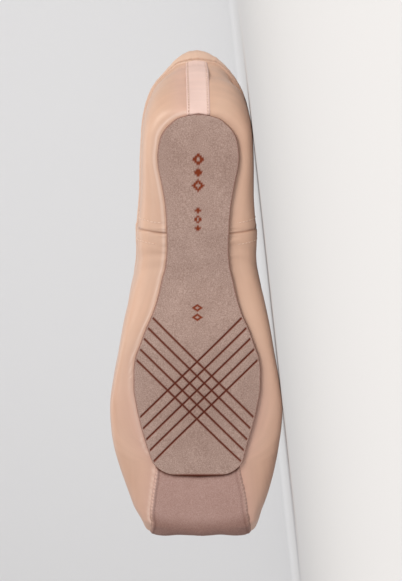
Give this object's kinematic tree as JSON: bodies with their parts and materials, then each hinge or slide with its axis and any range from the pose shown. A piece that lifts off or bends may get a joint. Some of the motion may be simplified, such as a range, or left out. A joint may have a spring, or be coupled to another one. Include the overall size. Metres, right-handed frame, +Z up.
{
  "type": "pointe shoe",
  "caption": "Satin ballet pointe shoe with a stiff box, suede platform patch and narrow suede outsole, lying on its side.",
  "frame": {"origin": "middle of the bounding box, on the floor that the shoe's side rests on", "axes": "+X towards the heel, +Y from the sole towards the instep, +Z up, towards the wearer's left"},
  "size_m": [0.242, 0.053, 0.0861],
  "materials": {
    "satin": "peach satin with a soft sheen",
    "sole_suede": "brushed suede with crossed grip grooves",
    "insole_board": "matt board",
    "binding_satin": "folded satin tape",
    "strip_satin": "pale pink satin",
    "patch_suede": "dusky pink suede"
  },
  "bodies": {
    "root": {"upper": "satin", "outsole": "sole_suede", "insole": "insole_board", "collar_binding": "binding_satin", "back_strip": "strip_satin", "toe_patch": "patch_suede"}
  },
  "joints": []
}
